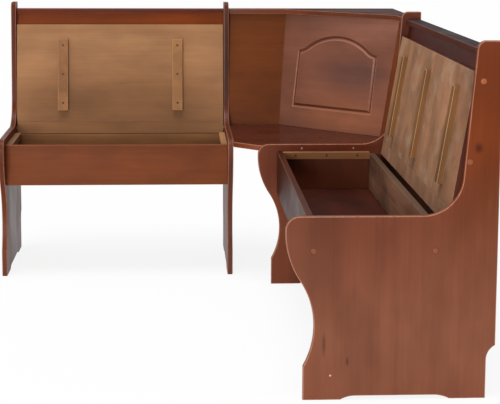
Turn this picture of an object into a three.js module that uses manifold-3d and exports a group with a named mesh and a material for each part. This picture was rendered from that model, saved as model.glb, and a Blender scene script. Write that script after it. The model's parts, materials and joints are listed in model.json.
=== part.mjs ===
// Corner storage bench: a short and a long bench stand against two walls, each with a bin under a
// hinged lid, and a corner seat with a leaning back joins them. Lengths are in millimetres, +Z is up.
// A depth is a distance from the wall behind a bench, and a height is a distance from the floor.
// The lids are drawn open, leaning on the backs.
import * as THREE from "three";
import { mergeVertices } from "three/addons/utils/BufferGeometryUtils.js";
import Module from "manifold-3d";

const wasm = await Module();
wasm.setup();

// Whole bench
const leftBenchLength = 785;
const rightBenchLength = 1240;
const totalHeight = 908;
const seatTopHeight = 466;
const boardThickness = 18;
const seam = 0.3; // glue line or working gap between two pieces
const edgeEase = 2.5; // rounding of the side panels' edges
const cutOverrun = 5; // how far a cutter stands out of the wood
const mergeDistance = 0.001;

// Outline of a side panel, from the floor up
const waistDepth = 460.5;
const footFlare = 26.5; // from the waist out to the foot
const bellyFlare = 72.5; // from the waist out to the belly
const frontFootWidth = 95.5;
const rearFootWidth = 91.5;
const reliefHeight = 10;
const frontReliefRun = 37.5;
const rearReliefRun = 42;
const footStepHeight = 87;
const bellyDrop = 42; // from the arm down to the belly
const bellyRise = 240; // from the waist up to the belly
const waistShare = 0.492; // share of the waist's radius in the two radii up to the belly
const armRise = 6; // from the seat up to the arm
const armNoseRadius = 35;
const armCoveRadius = 100;
const restLean = THREE.MathUtils.degToRad(4.8);
const restTopDepth = 61.8;
const restTopRadius = 22;
const restBackRadius = 4;
const skirtingDepth = 22.5; // notch that clears a skirting board
const skirtingHeight = 100;
const skirtingCoveHeight = 38;

// Bin under each lid
const apronSetback = 63; // from the belly back to the front of the rail
const apronHeight = 138;
const railEdgeRadius = 2;
const rearRailFrontDepth = 164.5;
const rearRailDrop = 6; // the rear rail's top lies this far under the closed lid
const backRailGap = 3; // from the swing of the lid's rear edge to the rail that closes the back
const floorRise = 13; // from the bottom of the rails to the floor of the bin
const floorThickness = 6;
const floorGrooveDepth = 8;
const cleatWidth = 20;
const cleatHeight = 23;

// Backs and caps
const backLean = THREE.MathUtils.degToRad(9.28);
const backSeatDepth = 101.9; // depth of a back's face at the height of the seat
const backLidGap = 3; // between a closed lid and the bottom of its back
const diagonalSeatReach = 374; // from the corner of the walls to the diagonal face, at the seat
const capDrop = 24; // the caps' top lies this far under the top of the side panels
const capThickness = 18;
const capBackDepth = 4.5;
const capOverhang = 12.3; // the caps stand this far out of the backs' faces
const capEdgeRadius = 2;
const panelSetback = 77; // from the front of an inner panel to the face of the other one
const seatSetback = 1; // from the front of an inner panel to the end of the seat's front edge

// Arch routed into each back
const archMargin = 49; // from the edge of the panel, at the seat, to the arch
const archFoot = 70; // heights along the face, from the seat
const archShoulder = 279;
const archApex = 336.5;
const crownShare = 0.764; // share of the crown's radius in the two radii of a flank
const grooveWidth = 16;
const grooveDepth = 4;
const grooveFlank = 6; // width of each sloping side of the groove

// Lids
const lidOverhang = 18.4; // a closed lid stands this far in front of the rail
const lidStripWidth = 43;
const lidSideGap = 2.5;
const lidBackGap = 1.15; // an open lid stops this far from its back
const pivotInset = 19.5; // from the rear edge of the lid to its pivot
const battenWidth = 36;
const battenThickness = 15;
const battenRearInset = 39; // from the pivot strip to the battens
const battenFrontInset = 54;
const leftBattenSpacing = 412;
const rightBattenSpacing = 428;
const pinRadius = 4;
const pinInLid = 24;
const pinInPanel = 11;
const pinClearance = 0.3;

// Steps in the curves
const curveSteps = 8;
const easeSteps = 2;
const pinSteps = 24;
const grooveSteps = 6;
const flankSteps = 1;

// Heights and depths that follow
const quarter = Math.PI / 2;
const footDepth = waistDepth + footFlare;
const bellyDepth = waistDepth + bellyFlare;
const apronFrontDepth = bellyDepth - apronSetback;
const cornerSide = bellyDepth + panelSetback; // length of the corner seat along each wall
const seatUnderside = seatTopHeight - boardThickness;
const armHeight = seatTopHeight + armRise;
const bellyHeight = armHeight - bellyDrop;
const waistHeight = bellyHeight - bellyRise;
const railBottomHeight = seatUnderside - apronHeight;
const floorTopHeight = railBottomHeight + floorRise;
const capTopHeight = totalHeight - capDrop;
const capUnderside = capTopHeight - capThickness;
const boardRise = boardThickness / Math.cos(backLean); // a leaning board measured level
const backDepth = (height) => backSeatDepth - (height - seatTopHeight) * Math.tan(backLean);
const diagonalReach = (height) => diagonalSeatReach - (height - seatTopHeight) * Math.tan(backLean);
const capFrontDepth = backDepth(capUnderside) + capOverhang;
const pivotHeight = seatUnderside + seam + boardThickness / 2;
const pivotDepth = backDepth(pivotHeight) + (boardThickness / 2 + lidBackGap) / Math.cos(backLean);
const backRailFrontDepth = pivotDepth - Math.hypot(pivotInset, boardThickness / 2) - backRailGap;

// An open lid leans on its back, or on the cap where it reaches as high.
const lidReach = apronFrontDepth + lidOverhang - pivotDepth;
const reachesCap = pivotHeight + lidReach * Math.cos(backLean) > capUnderside - backLidGap;
const capRise = capTopHeight - pivotHeight;
const capRun = pivotDepth - capFrontDepth;
const capLean =
  Math.atan2(capRun, capRise) - Math.asin((boardThickness / 2 + lidBackGap) / Math.hypot(capRun, capRise));
const lidOpenAngle = quarter + (reachesCap ? Math.min(backLean, capLean) : backLean);

const finish = {
  stained: { color: 0x8a4526, roughness: 0.35, metalness: 0 },
  stainedDark: { color: 0x4a2320, roughness: 0.28, metalness: 0 },
  raw: { color: 0xa07a52, roughness: 0.75, metalness: 0 },
  rawLight: { color: 0xb58a58, roughness: 0.7, metalness: 0 },
  steel: { color: 0x9a9a98, roughness: 0.35, metalness: 1 },
};

function piece(name, geometry, look) {
  const mesh = new THREE.Mesh(geometry, new THREE.MeshStandardMaterial(finish[look]));
  mesh.name = name;
  return mesh;
}

// Joining and cutting

function solidOf(geometry) {
  const bare = new THREE.BufferGeometry();
  bare.setAttribute("position", geometry.getAttribute("position"));
  bare.setIndex(geometry.index);
  const merged = mergeVertices(bare, mergeDistance);
  return new wasm.Manifold(
    new wasm.Mesh({
      numProp: 3,
      vertProperties: merged.getAttribute("position").array,
      triVerts: new Uint32Array(merged.index.array),
    }),
  );
}

function cutFrom(geometry, cutters) {
  let solid = solidOf(geometry);
  for (const cutter of cutters) solid = solid.subtract(solidOf(cutter));
  const mesh = solid.getMesh();
  const result = new THREE.BufferGeometry();
  result.setAttribute("position", new THREE.BufferAttribute(new Float32Array(mesh.vertProperties), 3));
  result.setIndex(new THREE.BufferAttribute(new Uint32Array(mesh.triVerts), 1));
  return result;
}

// Shapes. A profile is drawn in depth and height, and runs along the bench.

const profileFrame = new THREE.Matrix4().makeBasis(
  new THREE.Vector3(0, -1, 0),
  new THREE.Vector3(0, 0, 1),
  new THREE.Vector3(-1, 0, 0),
);

function profileSolid(shape, length, ease = 0) {
  const geometry = new THREE.ExtrudeGeometry(shape, {
    depth: length - 2 * ease,
    bevelEnabled: ease > 0,
    bevelThickness: ease,
    bevelSize: ease,
    bevelOffset: -ease,
    bevelSegments: easeSteps,
    curveSegments: curveSteps,
  });
  geometry.translate(0, 0, ease - length / 2);
  return geometry.applyMatrix4(profileFrame);
}

// A plan is drawn seen from above, and stands on its lowest height.
function planSolid(shape, bottom, top, ease) {
  const geometry = new THREE.ExtrudeGeometry(shape, {
    depth: top - bottom - 2 * ease,
    bevelThickness: ease,
    bevelSize: ease,
    bevelOffset: -ease,
    bevelSegments: easeSteps,
  });
  return geometry.translate(0, 0, bottom + ease);
}

// An outline through corners [across, up, radius].
function roundedShape(corners) {
  const shape = new THREE.Shape();
  corners.forEach(([x, y, radius = 0], i) => {
    const corner = new THREE.Vector2(x, y);
    const toward = ([px, py]) => new THREE.Vector2(px, py).sub(corner).setLength(radius).add(corner);
    const from = toward(corners.at(i - 1));
    const to = toward(corners[(i + 1) % corners.length]);
    if (i) shape.lineTo(from.x, from.y);
    else shape.moveTo(from.x, from.y);
    if (radius) shape.quadraticCurveTo(x, y, to.x, to.y);
  });
  shape.closePath();
  return shape;
}

const rectangle = (low, high, bottom, top, radius = 0) =>
  roundedShape([
    [low, bottom, radius],
    [high, bottom, radius],
    [high, top, radius],
    [low, top, radius],
  ]);

// A solid between two outlines of as many corners, each counterclockwise seen from above.
function loftSolid(bottom, top) {
  const count = bottom.length;
  const geometry = new THREE.BufferGeometry().setFromPoints([...bottom, ...top]);
  const faces = [];
  bottom.forEach((_, i) => {
    const next = (i + 1) % count;
    faces.push(i, next, count + next, i, count + next, count + i);
  });
  for (let i = 1; i < count - 1; i += 1) {
    faces.push(0, i + 1, i, count, count + i, count + i + 1);
  }
  geometry.setIndex(faces);
  return geometry;
}

// Radius of an arc that ends level after this run and rise.
const sweepRadius = (run, rise) => (run * run + rise * rise) / (2 * rise);

// Side panels

function sideShape() {
  const shape = new THREE.Shape();
  const rearFootEnd = skirtingDepth + rearFootWidth;
  const frontFootStart = footDepth - frontFootWidth;
  const rearRadius = sweepRadius(rearReliefRun, reliefHeight);
  const frontRadius = sweepRadius(frontReliefRun, reliefHeight);
  shape.moveTo(skirtingDepth, 0);
  shape.lineTo(rearFootEnd, 0);
  shape.absarc(
    rearFootEnd + rearReliefRun,
    reliefHeight - rearRadius,
    rearRadius,
    quarter + Math.asin(rearReliefRun / rearRadius),
    quarter,
    true,
  );
  shape.absarc(
    frontFootStart - frontReliefRun,
    reliefHeight - frontRadius,
    frontRadius,
    quarter,
    quarter - Math.asin(frontReliefRun / frontRadius),
    true,
  );
  shape.lineTo(footDepth, 0);
  shape.lineTo(footDepth, footStepHeight);

  // The front swings in to the waist, out to the belly and round the nose of the arm.
  const stepRise = waistHeight - footStepHeight;
  const stepRadius = sweepRadius(stepRise, footFlare);
  const bothRadii = sweepRadius(bellyRise, bellyFlare);
  const waistRadius = bothRadii * waistShare;
  const bellyRadius = bothRadii - waistRadius;
  const bellyCentre = bellyDepth - bellyRadius;
  const noseHeight = armHeight - armNoseRadius;
  const noseReach = bellyRadius - armNoseRadius;
  const noseCentre = bellyCentre + Math.sqrt(noseReach ** 2 - (noseHeight - bellyHeight) ** 2);
  const stepTurn = 2 * Math.atan(footFlare / stepRise);
  const turn = 2 * Math.atan(bellyFlare / bellyRise);
  const noseTurn = Math.asin((noseHeight - bellyHeight) / noseReach);
  shape.absarc(waistDepth + stepRadius, waistHeight, stepRadius, Math.PI + stepTurn, Math.PI, true);
  shape.absarc(waistDepth + waistRadius, waistHeight, waistRadius, Math.PI, Math.PI - turn, true);
  shape.absarc(bellyCentre, bellyHeight, bellyRadius, -turn, noseTurn, false);
  shape.absarc(noseCentre, noseHeight, armNoseRadius, noseTurn, quarter, false);

  // The arm runs level to a cove, and the backrest edge leans to the top.
  const restDepth = (height) => restTopDepth + (totalHeight - height) * Math.tan(restLean);
  const coveHeight = armHeight + armCoveRadius;
  const coveDepth = restDepth(coveHeight) + armCoveRadius / Math.cos(restLean);
  const topHeight = totalHeight - restTopRadius;
  const topDepth = restDepth(topHeight) - restTopRadius / Math.cos(restLean);
  shape.absarc(coveDepth, coveHeight, armCoveRadius, 3 * quarter, Math.PI + restLean, true);
  shape.absarc(topDepth, topHeight, restTopRadius, restLean, quarter, false);
  shape.absarc(restBackRadius, totalHeight - restBackRadius, restBackRadius, quarter, Math.PI, false);

  // The wall edge drops to the notch over the skirting board.
  const coveRadius = sweepRadius(skirtingCoveHeight, skirtingDepth);
  shape.absarc(
    skirtingDepth - coveRadius,
    skirtingHeight,
    coveRadius,
    Math.asin(skirtingCoveHeight / coveRadius),
    0,
    true,
  );
  shape.closePath();
  return shape;
}

// towardBench is 1 or -1, the side of the panel along the bench that has the pivot's hole.
function sidePanel(name, place, towardBench) {
  const hole = new THREE.CylinderGeometry(
    pinRadius + pinClearance,
    pinRadius + pinClearance,
    pinInPanel + pinClearance + cutOverrun,
    pinSteps,
  );
  hole.rotateZ(quarter);
  const holeMiddle = boardThickness / 2 + cutOverrun - (pinInPanel + pinClearance + cutOverrun) / 2;
  hole.translate(towardBench * holeMiddle, -pivotDepth, pivotHeight);
  const panel = piece(name, cutFrom(profileSolid(sideShape(), boardThickness, edgeEase), [hole]), "stained");
  panel.position.x = place;
  return panel;
}

// Routed arch

// The arch's outline, moved in from its outer edge.
function archOutline(path, halfWidth, inset) {
  const turn = 2 * Math.atan((archApex - archShoulder) / halfWidth);
  const bothRadii = halfWidth / Math.sin(turn);
  const crownRadius = bothRadii * crownShare;
  const flankRadius = bothRadii - crownRadius;
  const crownCentre = archApex - crownRadius;
  const flankCentre = archShoulder + flankRadius;
  const meet = Math.asin(inset / (flankRadius + inset));
  const side = halfWidth - inset;
  path.moveTo(-side, archFoot + inset);
  path.lineTo(side, archFoot + inset);
  path.absarc(halfWidth, flankCentre, flankRadius + inset, 3 * quarter - meet, 3 * quarter - turn, true);
  path.absarc(0, crownCentre, crownRadius - inset, quarter - turn, quarter + turn, false);
  path.absarc(-halfWidth, flankCentre, flankRadius + inset, 3 * quarter + turn, 3 * quarter + meet, true);
  path.closePath();
  return path;
}

// A frame on a leaning face: across, up the face, and out of the face.
function faceFrame(across, origin) {
  const outward = new THREE.Vector3(across.y, -across.x, 0).multiplyScalar(Math.cos(backLean));
  outward.z = Math.sin(backLean);
  const up = new THREE.Vector3().crossVectors(outward, across);
  return new THREE.Matrix4().makeBasis(across, up, outward).setPosition(origin);
}

function archCutter(halfWidth, middle, frame) {
  const ring = archOutline(new THREE.Shape(), halfWidth, 0);
  ring.holes.push(archOutline(new THREE.Path(), halfWidth, grooveWidth));
  const geometry = new THREE.ExtrudeGeometry(ring, {
    depth: cutOverrun,
    bevelThickness: grooveDepth,
    bevelSize: grooveFlank,
    bevelOffset: -grooveFlank,
    bevelSegments: flankSteps,
    curveSegments: grooveSteps,
  });
  geometry.translate(middle, 0, 0);
  return geometry.applyMatrix4(frame);
}

// One bench, with its length along X, its corner end on the side of cornerSign, and the wall at y = 0

function bin(name, innerLength, cornerSign) {
  const parts = new THREE.Group();
  const length = innerLength - 2 * seam;
  const apronBack = apronFrontDepth - boardThickness;
  const rearRailBack = rearRailFrontDepth - boardThickness;
  const backRailBack = backRailFrontDepth - boardThickness;
  const backRailTop = seatTopHeight + backLidGap - seam;
  const rearRailTop = seatUnderside - rearRailDrop;
  const grooveBottom = floorTopHeight - floorThickness - seam;
  const grooveTop = floorTopHeight + seam;
  const apron = roundedShape([
    [apronFrontDepth, railBottomHeight, railEdgeRadius],
    [apronFrontDepth, seatUnderside, railEdgeRadius],
    [apronBack, seatUnderside, railEdgeRadius],
    [apronBack, grooveTop],
    [apronBack + floorGrooveDepth, grooveTop],
    [apronBack + floorGrooveDepth, grooveBottom],
    [apronBack, grooveBottom],
    [apronBack, railBottomHeight],
  ]);
  const rear = roundedShape([
    [rearRailFrontDepth, railBottomHeight],
    [rearRailFrontDepth, grooveBottom],
    [rearRailFrontDepth - floorGrooveDepth, grooveBottom],
    [rearRailFrontDepth - floorGrooveDepth, grooveTop],
    [rearRailFrontDepth, grooveTop],
    [rearRailFrontDepth, rearRailTop],
    [rearRailBack, rearRailTop],
    [rearRailBack, railBottomHeight],
  ]);
  const back = rectangle(backRailBack, backRailFrontDepth, railBottomHeight, backRailTop);
  const floor = rectangle(
    rearRailFrontDepth - floorGrooveDepth + seam,
    apronBack + floorGrooveDepth - seam,
    floorTopHeight - floorThickness,
    floorTopHeight,
  );
  const cleat = rectangle(rearRailFrontDepth + seam, apronBack - seam, seatUnderside - cleatHeight, seatUnderside);
  parts.add(piece(name + "_front_rail", profileSolid(apron, length), "stained"));
  parts.add(piece(name + "_rear_rail", profileSolid(rear, length), "raw"));
  parts.add(piece(name + "_back_rail", profileSolid(back, length), "stainedDark"));
  parts.add(piece(name + "_bin_floor", profileSolid(floor, length), "stainedDark"));
  for (const [end, sign] of [["outer", -cornerSign], ["inner", cornerSign]]) {
    const bar = piece(name + "_" + end + "_cleat", profileSolid(cleat, cleatWidth), "rawLight");
    bar.position.x = sign * (innerLength / 2 - seam - cleatWidth / 2);
    parts.add(bar);
  }
  return parts;
}

function benchBack(name, innerLength, archCount) {
  const parts = new THREE.Group();
  const length = innerLength - 2 * seam;
  const bottom = seatTopHeight + backLidGap;
  const top = capUnderside - seam;
  const outline = roundedShape([
    [backDepth(bottom), bottom],
    [backDepth(top), top],
    [backDepth(top) - boardRise, top],
    [backDepth(bottom) - boardRise, bottom],
  ]);
  const frame = faceFrame(new THREE.Vector3(1, 0, 0), new THREE.Vector3(0, -backSeatDepth, seatTopHeight));
  const archHalf = (innerLength - (archCount + 1) * archMargin) / (2 * archCount);
  const cutters = Array.from({ length: archCount }, (_, i) =>
    archCutter(archHalf, (i - (archCount - 1) / 2) * (2 * archHalf + archMargin), frame),
  );
  const cap = rectangle(capBackDepth, capFrontDepth, capUnderside, capTopHeight, capEdgeRadius);
  parts.add(piece(name + "_back_panel", cutFrom(profileSolid(outline, length), cutters), "stained"));
  parts.add(piece(name + "_cap_rail", profileSolid(cap, length), "stainedDark"));
  return parts;
}

// The lid turns on a pin at each end of its pivot strip. It is drawn closed about its pivot, then opened.
function lid(name, innerLength, cornerSign, battenCount, battenSpacing) {
  const parts = new THREE.Group();
  const length = innerLength - 2 * lidSideGap;
  const half = boardThickness / 2;
  const stripFront = lidStripWidth - pivotInset;
  const boardBack = stripFront + seam;
  const battenBack = boardBack + battenRearInset;
  const battenFront = lidReach - battenFrontInset;
  const panel = rectangle(boardBack, lidReach, -half, half);
  const batten = rectangle(battenBack, battenFront, -half - seam - battenThickness, -half - seam);
  const strip = profileSolid(rectangle(-pivotInset, stripFront, -half, half), length);
  const bores = [-1, 1].map((sign) => {
    const bore = new THREE.CylinderGeometry(
      pinRadius + pinClearance,
      pinRadius + pinClearance,
      pinInLid + pinClearance + cutOverrun,
      pinSteps,
    );
    bore.rotateZ(quarter);
    return bore.translate(sign * (length / 2 + (cutOverrun - pinInLid - pinClearance) / 2), 0, 0);
  });
  parts.add(piece(name + "_lid_board", profileSolid(panel, length), "raw"));
  parts.add(piece(name + "_lid_pivot_strip", cutFrom(strip, bores), "raw"));
  for (let i = 0; i < battenCount; i += 1) {
    const bar = piece(name + "_lid_batten_" + (i + 1), profileSolid(batten, battenWidth), "rawLight");
    bar.position.x = cornerSign * (i - (battenCount - 1) / 2) * battenSpacing;
    parts.add(bar);
  }
  const pinLength = pinInLid + lidSideGap + pinInPanel;
  for (const [end, sign] of [["outer", -cornerSign], ["inner", cornerSign]]) {
    const rod = new THREE.CylinderGeometry(pinRadius, pinRadius, pinLength, pinSteps).rotateZ(quarter);
    const pin = piece(name + "_lid_pin_" + end, rod, "steel");
    pin.position.x = sign * (innerLength / 2 + pinInPanel - pinLength / 2);
    parts.add(pin);
  }
  parts.position.set(0, -pivotDepth, pivotHeight);
  parts.rotation.x = -lidOpenAngle;
  return parts;
}

function bench({ name, length, cornerSign, battenCount, battenSpacing, archCount }) {
  const parts = new THREE.Group();
  const innerLength = length - 2 * boardThickness;
  const panelPlace = (length - boardThickness) / 2;
  parts.add(sidePanel(name + "_outer_side", -cornerSign * panelPlace, cornerSign));
  parts.add(sidePanel(name + "_inner_side", cornerSign * panelPlace, -cornerSign));
  parts.add(bin(name, innerLength, cornerSign));
  parts.add(benchBack(name, innerLength, archCount));
  parts.add(lid(name, innerLength, cornerSign, battenCount, battenSpacing));
  return parts;
}

// Corner seat, with the corner of the two walls at x = 0, y = 0

function cornerSeat() {
  const end = cornerSide - seam;
  const cut = bellyDepth - seatSetback;
  const plan = roundedShape([
    [0, 0],
    [-end, 0],
    [-end, -cut],
    [-cut, -end],
    [0, -end],
  ]);
  return piece("corner_seat", planSolid(plan, seatUnderside, seatTopHeight, edgeEase), "stainedDark");
}

// Where the flat and the diagonal faces meet at a height, given how far both lie from their planes.
const mitreX = (height, behind) => {
  const depth = backDepth(height) - behind;
  return depth - (diagonalReach(height) - behind) * Math.SQRT2;
};

// The plan of a flat back at one height, from the side panel to the mitre.
function flatBackPlan(height) {
  const front = -backDepth(height);
  const rear = front + boardRise;
  return [
    new THREE.Vector3(seam - cornerSide, front, height),
    new THREE.Vector3(mitreX(height, 0) - seam, front, height),
    new THREE.Vector3(mitreX(height, boardRise) - seam, rear, height),
    new THREE.Vector3(seam - cornerSide, rear, height),
  ];
}

function diagonalBackPlan(height) {
  const frontX = mitreX(height, 0);
  const frontY = -backDepth(height);
  const rearX = mitreX(height, boardRise);
  const rearY = frontY + boardRise;
  return [
    new THREE.Vector3(frontX, frontY, height),
    new THREE.Vector3(frontY, frontX, height),
    new THREE.Vector3(rearY, rearX, height),
    new THREE.Vector3(rearX, rearY, height),
  ];
}

// The other flat back is the first one seen in the diagonal.
const mirrored = (plan) => plan.map(({ x, y, z }) => new THREE.Vector3(y, x, z)).reverse();

function cornerBacks() {
  const parts = new THREE.Group();
  const bottom = seatTopHeight + seam;
  const top = capUnderside - seam;
  const middle = -diagonalSeatReach / Math.SQRT2;
  const across = new THREE.Vector3(1, -1, 0).normalize();
  const frame = faceFrame(across, new THREE.Vector3(middle, middle, seatTopHeight));
  const foot = diagonalBackPlan(seatTopHeight);
  const archHalf = foot[0].distanceTo(foot[1]) / 2 - archMargin;
  const diagonal = loftSolid(diagonalBackPlan(bottom), diagonalBackPlan(top));
  const carved = cutFrom(diagonal, [archCutter(archHalf, 0, frame)]);
  const left = loftSolid(flatBackPlan(bottom), flatBackPlan(top));
  const right = loftSolid(mirrored(flatBackPlan(bottom)), mirrored(flatBackPlan(top)));
  parts.add(piece("corner_back_left", left, "stained"));
  parts.add(piece("corner_back_diagonal", carved, "stained"));
  parts.add(piece("corner_back_right", right, "stained"));
  return parts;
}

function cornerCap() {
  const end = cornerSide - seam;
  const diagonal = (diagonalReach(capUnderside) + capOverhang) * Math.SQRT2;
  const mitre = diagonal - capFrontDepth;
  const plan = roundedShape([
    [0, 0],
    [-end, 0],
    [-end, -capFrontDepth],
    [-mitre, -capFrontDepth],
    [-capFrontDepth, -mitre],
    [-capFrontDepth, -end],
    [0, -end],
  ]);
  return piece("corner_cap", planSolid(plan, capUnderside, capTopHeight, capEdgeRadius), "stainedDark");
}

// The whole bench, with the middle of its floor plan at the origin

const leftBench = bench({
  name: "left",
  length: leftBenchLength,
  cornerSign: 1,
  battenCount: 2,
  battenSpacing: leftBattenSpacing,
  archCount: 1,
});
leftBench.position.x = -cornerSide - leftBenchLength / 2;

const rightBench = bench({
  name: "right",
  length: rightBenchLength,
  cornerSign: -1,
  battenCount: 3,
  battenSpacing: rightBattenSpacing,
  archCount: 2,
});
rightBench.position.y = -cornerSide - rightBenchLength / 2;
rightBench.rotation.z = -quarter;

const cornerBench = new THREE.Group();
cornerBench.add(leftBench, rightBench, cornerSeat(), cornerBacks(), cornerCap());
cornerBench.position.set((cornerSide + leftBenchLength) / 2, (cornerSide + rightBenchLength) / 2, 0);

export default cornerBench;
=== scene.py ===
import json
import math
import random

import bmesh
import bpy
from mathutils import Matrix, Vector


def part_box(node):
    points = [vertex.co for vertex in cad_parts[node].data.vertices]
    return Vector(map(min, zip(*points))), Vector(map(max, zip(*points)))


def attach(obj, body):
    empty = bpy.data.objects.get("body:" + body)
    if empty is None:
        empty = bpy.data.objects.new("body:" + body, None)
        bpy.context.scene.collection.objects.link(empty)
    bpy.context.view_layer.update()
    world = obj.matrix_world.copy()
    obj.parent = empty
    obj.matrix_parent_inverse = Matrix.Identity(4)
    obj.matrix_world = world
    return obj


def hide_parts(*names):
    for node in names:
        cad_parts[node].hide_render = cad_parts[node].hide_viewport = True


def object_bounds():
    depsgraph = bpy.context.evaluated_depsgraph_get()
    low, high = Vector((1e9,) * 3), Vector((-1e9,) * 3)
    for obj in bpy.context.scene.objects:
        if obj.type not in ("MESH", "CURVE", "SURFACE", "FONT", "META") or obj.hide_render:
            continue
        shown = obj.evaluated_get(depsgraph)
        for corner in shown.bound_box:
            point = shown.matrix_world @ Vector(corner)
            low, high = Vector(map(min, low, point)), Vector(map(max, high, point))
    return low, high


# Corner storage bench. Lengths are in metres, +Z is up, and the walls lie on the +Y and +X sides.
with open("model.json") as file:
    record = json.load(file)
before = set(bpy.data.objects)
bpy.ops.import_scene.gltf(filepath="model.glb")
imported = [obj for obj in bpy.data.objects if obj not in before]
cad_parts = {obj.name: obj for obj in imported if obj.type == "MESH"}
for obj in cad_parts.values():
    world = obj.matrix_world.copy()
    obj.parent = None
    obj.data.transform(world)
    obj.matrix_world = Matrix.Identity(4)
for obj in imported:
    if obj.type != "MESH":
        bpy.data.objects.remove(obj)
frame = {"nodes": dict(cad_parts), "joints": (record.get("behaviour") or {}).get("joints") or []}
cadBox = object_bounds()
print("frame loaded:", len(frame["nodes"]), "nodes")

up = Vector((0, 0, 1))
joints = {joint["name"]: joint for joint in frame["joints"]}
lean = math.radians(joints["left_lid_hinge"]["range_deg"][1] - 90)  # the lids and the backs lean alike

# Directions of each bench: along it, and out from its wall into the room.
benches = {
    "left": {"along": Vector((1, 0, 0)), "out": Vector((0, -1, 0)), "wall": -cadBox[1].y},
    "right": {"along": Vector((0, -1, 0)), "out": Vector((-1, 0, 0)), "wall": -cadBox[1].x},
}
for place in benches.values():
    place["upLean"] = up * math.cos(lean) - place["out"] * math.sin(lean)
    place["faceOut"] = place["out"] * math.cos(lean) + up * math.sin(lean)


def span(node, axis):
    reach = [vertex.co.dot(axis) for vertex in frame["nodes"][node].data.vertices]
    return min(reach), max(reach)


def middle(node, axis):
    low, high = span(node, axis)
    return (low + high) / 2


# Materials

def addNode(tree, kind, values=None, links=None, **options):
    made = tree.nodes.new(kind)
    for name, value in options.items():
        setattr(made, name, value)
    for socket, value in (values or {}).items():
        made.inputs[socket].default_value = value
    for socket, source in (links or {}).items():
        tree.links.new(source, made.inputs[socket])
    return made


def newMaterial(name):
    material = bpy.data.materials.new(name)
    material.use_nodes = True
    shader = material.node_tree.nodes["Principled BSDF"]
    return material, material.node_tree, shader


def mixColour(tree, factor, first, second, blend="MIX"):
    mixed = addNode(tree, "ShaderNodeMix", data_type="RGBA", blend_type=blend)
    for slot, value in ((0, factor), (6, first), (7, second)):
        if isinstance(value, bpy.types.NodeSocket):
            tree.links.new(value, mixed.inputs[slot])
        elif slot:
            mixed.inputs[slot].default_value = (*value, 1)
        else:
            mixed.inputs[slot].default_value = value
    return mixed.outputs[2]


def sums(tree, operation, first, second=0.0, clamp=False):
    made = addNode(tree, "ShaderNodeMath", operation=operation, use_clamp=clamp)
    for slot, value in ((0, first), (1, second)):
        if isinstance(value, bpy.types.NodeSocket):
            tree.links.new(value, made.inputs[slot])
        else:
            made.inputs[slot].default_value = value
    return made.outputs[0]


def spread(tree, value, low, high, toLow=0.0, toHigh=1.0):
    made = addNode(
        tree,
        "ShaderNodeMapRange",
        {"From Min": low, "From Max": high, "To Min": toLow, "To Max": toHigh},
        {"Value": value},
        interpolation_type="SMOOTHSTEP",
    )
    return made.outputs[0]


# Noise turned with the grain. Its features have these sizes along the grain and across it.
def grainNoise(tree, place, grain):
    mapped = addNode(
        tree,
        "ShaderNodeMapping",
        {"Rotation": place["turn"], "Location": place["shift"], "Scale": grain["sizes"]},
        {"Vector": place["point"]},
        vector_type="TEXTURE",
    )
    values = {"Scale": 1.0, "Detail": grain["detail"], "Roughness": grain["rough"]}
    noise = addNode(tree, "ShaderNodeTexNoise", values, {"Vector": mapped.outputs[0]})
    noise.inputs["Distortion"].default_value = grain.get("distortion", 0.0)
    return noise.outputs[0]


grainTurns = {
    "x": (0, 0, 0),
    "y": (0, 0, math.pi / 2),
    "z": (0, -math.pi / 2, 0),
    "diagonal": (0, 0, -math.pi / 4),
    "upRightLid": (0, -(math.pi / 2 - lean), 0),
    "upLeftLid": (math.pi / 2 - lean, 0, math.pi / 2),
}

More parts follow.
